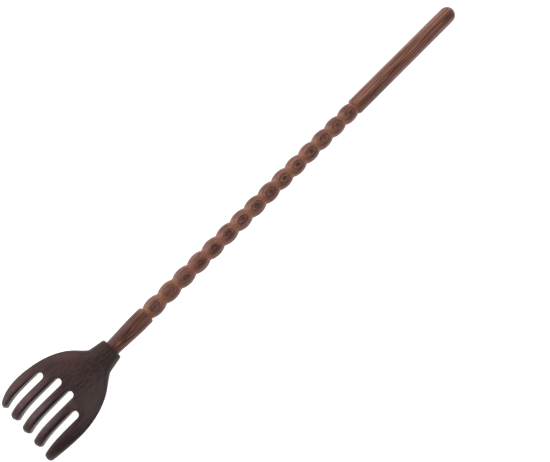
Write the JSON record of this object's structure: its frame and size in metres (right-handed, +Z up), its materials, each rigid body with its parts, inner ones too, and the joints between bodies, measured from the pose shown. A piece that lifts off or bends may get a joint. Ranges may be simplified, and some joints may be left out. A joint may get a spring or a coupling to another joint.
{
  "type": "back scratcher",
  "caption": "Hand-shaped wooden back scratcher: a turned, beaded stick with a plain round grip, glued into a carved hand with curled tines.",
  "frame": {"origin": "centre of the bounding box, on the surface that the part lies on", "axes": "+X along the shaft towards the hand, +Y towards the thumb side, +Z up, out of the back of the hand"},
  "size_m": [0.4716, 0.0626, 0.0217],
  "materials": {
    "shaft_wood": "satin",
    "hand_wood": "satin"
  },
  "bodies": {
    "root": {"shaft": "shaft_wood", "hand": "hand_wood"}
  },
  "joints": []
}
